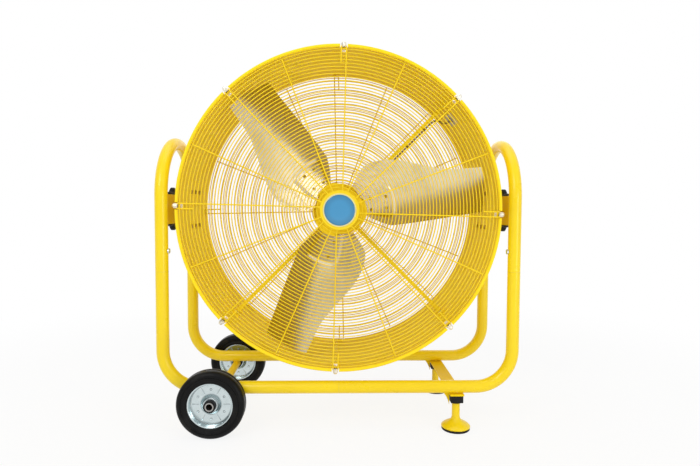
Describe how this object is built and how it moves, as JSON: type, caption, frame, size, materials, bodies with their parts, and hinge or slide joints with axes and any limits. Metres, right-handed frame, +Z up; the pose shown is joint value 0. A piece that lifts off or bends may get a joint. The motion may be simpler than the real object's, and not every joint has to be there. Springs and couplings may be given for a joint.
{
  "type": "drum fan",
  "caption": "Yellow mobile drum fan: wire-guarded drum on a tilting pivot in a round-tube frame with two solid wheels and two levelling feet.",
  "frame": {"origin": "on the floor, under the middle of the fan's outer size", "axes": "+Z up, -Y the front that the badge is on, -X the wheel side, +X the foot side"},
  "size_m": [1.1252, 0.5046, 1.1715],
  "materials": {
    "frame_yellow": "gloss powder coat",
    "drum_yellow": "gloss powder coat",
    "guard_yellow": "gloss powder coat on wire",
    "foot_yellow": "gloss powder coat",
    "bolt_zinc": "bright zinc plate",
    "wheel_zinc": "blue-white zinc plate on pressed steel",
    "tyre_black": "solid rubber",
    "plastic_black": "satin moulded nylon",
    "rubber_black": "matt",
    "steel_bare": "machined",
    "blade_aluminium": "mill finish sheet",
    "motor_yellow": "cast aluminium under gloss yellow powder coat",
    "box_grey": "moulded",
    "badge_blue": "gloss",
    "badge_pale": "gloss"
  },
  "bodies": {
    "frame": {"front_frame_tube_left": "frame_yellow", "front_frame_tube_right": "frame_yellow", "rear_frame_tube_left": "frame_yellow", "rear_frame_tube_right": "frame_yellow", "side_arch_left": "frame_yellow", "side_arch_right": "frame_yellow", "tube_sleeves": "steel_bare", "riser_bolts": "bolt_zinc", "pivot_plates": "frame_yellow", "axle_tube": "frame_yellow", "axle_collars": "plastic_black", "foot_crossbar": "frame_yellow", "foot_sockets": "plastic_black"},
    "wheel_front": {"tyre_front": "tyre_black", "wheel_discs_front": "wheel_zinc", "wheel_bush_front": "plastic_black"},
    "wheel_rear": {"tyre_rear": "tyre_black", "wheel_discs_rear": "wheel_zinc", "wheel_bush_rear": "plastic_black"},
    "foot_front": {"foot_screw_front": "foot_yellow", "foot_pad_front": "rubber_black"},
    "foot_rear": {"foot_screw_rear": "foot_yellow", "foot_pad_rear": "rubber_black"},
    "drum": {"drum_shell": "drum_yellow", "guard_rings_front": "guard_yellow", "guard_rings_rear": "guard_yellow", "guard_frame_front": "guard_yellow", "guard_frame_rear": "guard_yellow", "guard_badge": "badge_blue", "badge_ring": "badge_pale", "guard_bolts": "bolt_zinc", "pivot_brackets": "drum_yellow", "pivot_studs": "bolt_zinc", "friction_discs": "rubber_black", "pivot_bolts": "bolt_zinc", "motor_struts": "drum_yellow", "strut_bolts": "bolt_zinc", "motor_shell": "motor_yellow", "motor_bells": "motor_yellow", "motor_bearings": "steel_bare", "motor_stator": "steel_bare", "terminal_box": "box_grey", "motor_cable": "rubber_black", "cable_clips": "rubber_black", "wiring_backplate": "box_grey", "switch_box": "box_grey", "switch_screws": "bolt_zinc", "cable_gland": "plastic_black"},
    "handwheel_left": {"handwheel_left": "plastic_black"},
    "handwheel_right": {"handwheel_right": "plastic_black"},
    "switch_knob": {"switch_knob": "plastic_black"},
    "rotor": {"fan_shaft": "steel_bare", "rotor_core": "steel_bare", "fan_spider": "drum_yellow", "rotor_fasteners": "bolt_zinc", "hub_plate": "drum_yellow", "blade_1": "blade_aluminium", "blade_2": "blade_aluminium", "blade_3": "blade_aluminium"}
  },
  "joints": [
    {"name": "drum_tilt", "type": "hinge", "parent": "frame", "child": "drum", "pos_m": [0, 0, 0.66943], "axis": [1, 0, 0], "range_deg": [-90, 90]},
    {"name": "rotor_spin", "type": "hinge", "parent": "drum", "child": "rotor", "pos_m": [0, 0, 0.66943], "axis": [0, 1, 0], "continuous": true},
    {"name": "wheel_front_spin", "type": "hinge", "parent": "frame", "child": "wheel_front", "pos_m": [-0.37475, -0.222, 0.1], "axis": [0, 1, 0], "continuous": true},
    {"name": "wheel_rear_spin", "type": "hinge", "parent": "frame", "child": "wheel_rear", "pos_m": [-0.37475, 0.222, 0.1], "axis": [0, 1, 0], "continuous": true},
    {"name": "foot_front_adjust", "type": "slide", "parent": "frame", "child": "foot_front", "axis": [0, 0, -1], "range_m": [0, 0.012]},
    {"name": "foot_rear_adjust", "type": "slide", "parent": "frame", "child": "foot_rear", "axis": [0, 0, -1], "range_m": [0, 0.012]},
    {"name": "handwheel_left_turn", "type": "hinge", "parent": "drum", "child": "handwheel_left", "pos_m": [-0.548, 0, 0.66943], "axis": [1, 0, 0], "range_deg": [0, 360]},
    {"name": "handwheel_right_turn", "type": "hinge", "parent": "drum", "child": "handwheel_right", "pos_m": [0.548, 0, 0.66943], "axis": [1, 0, 0], "range_deg": [0, 360]},
    {"name": "switch_turn", "type": "hinge", "parent": "drum", "child": "switch_knob", "pos_m": [0.39246, 0.105, 0.98723], "axis": [0, 1, 0], "range_deg": [0, 90]}
  ]
}
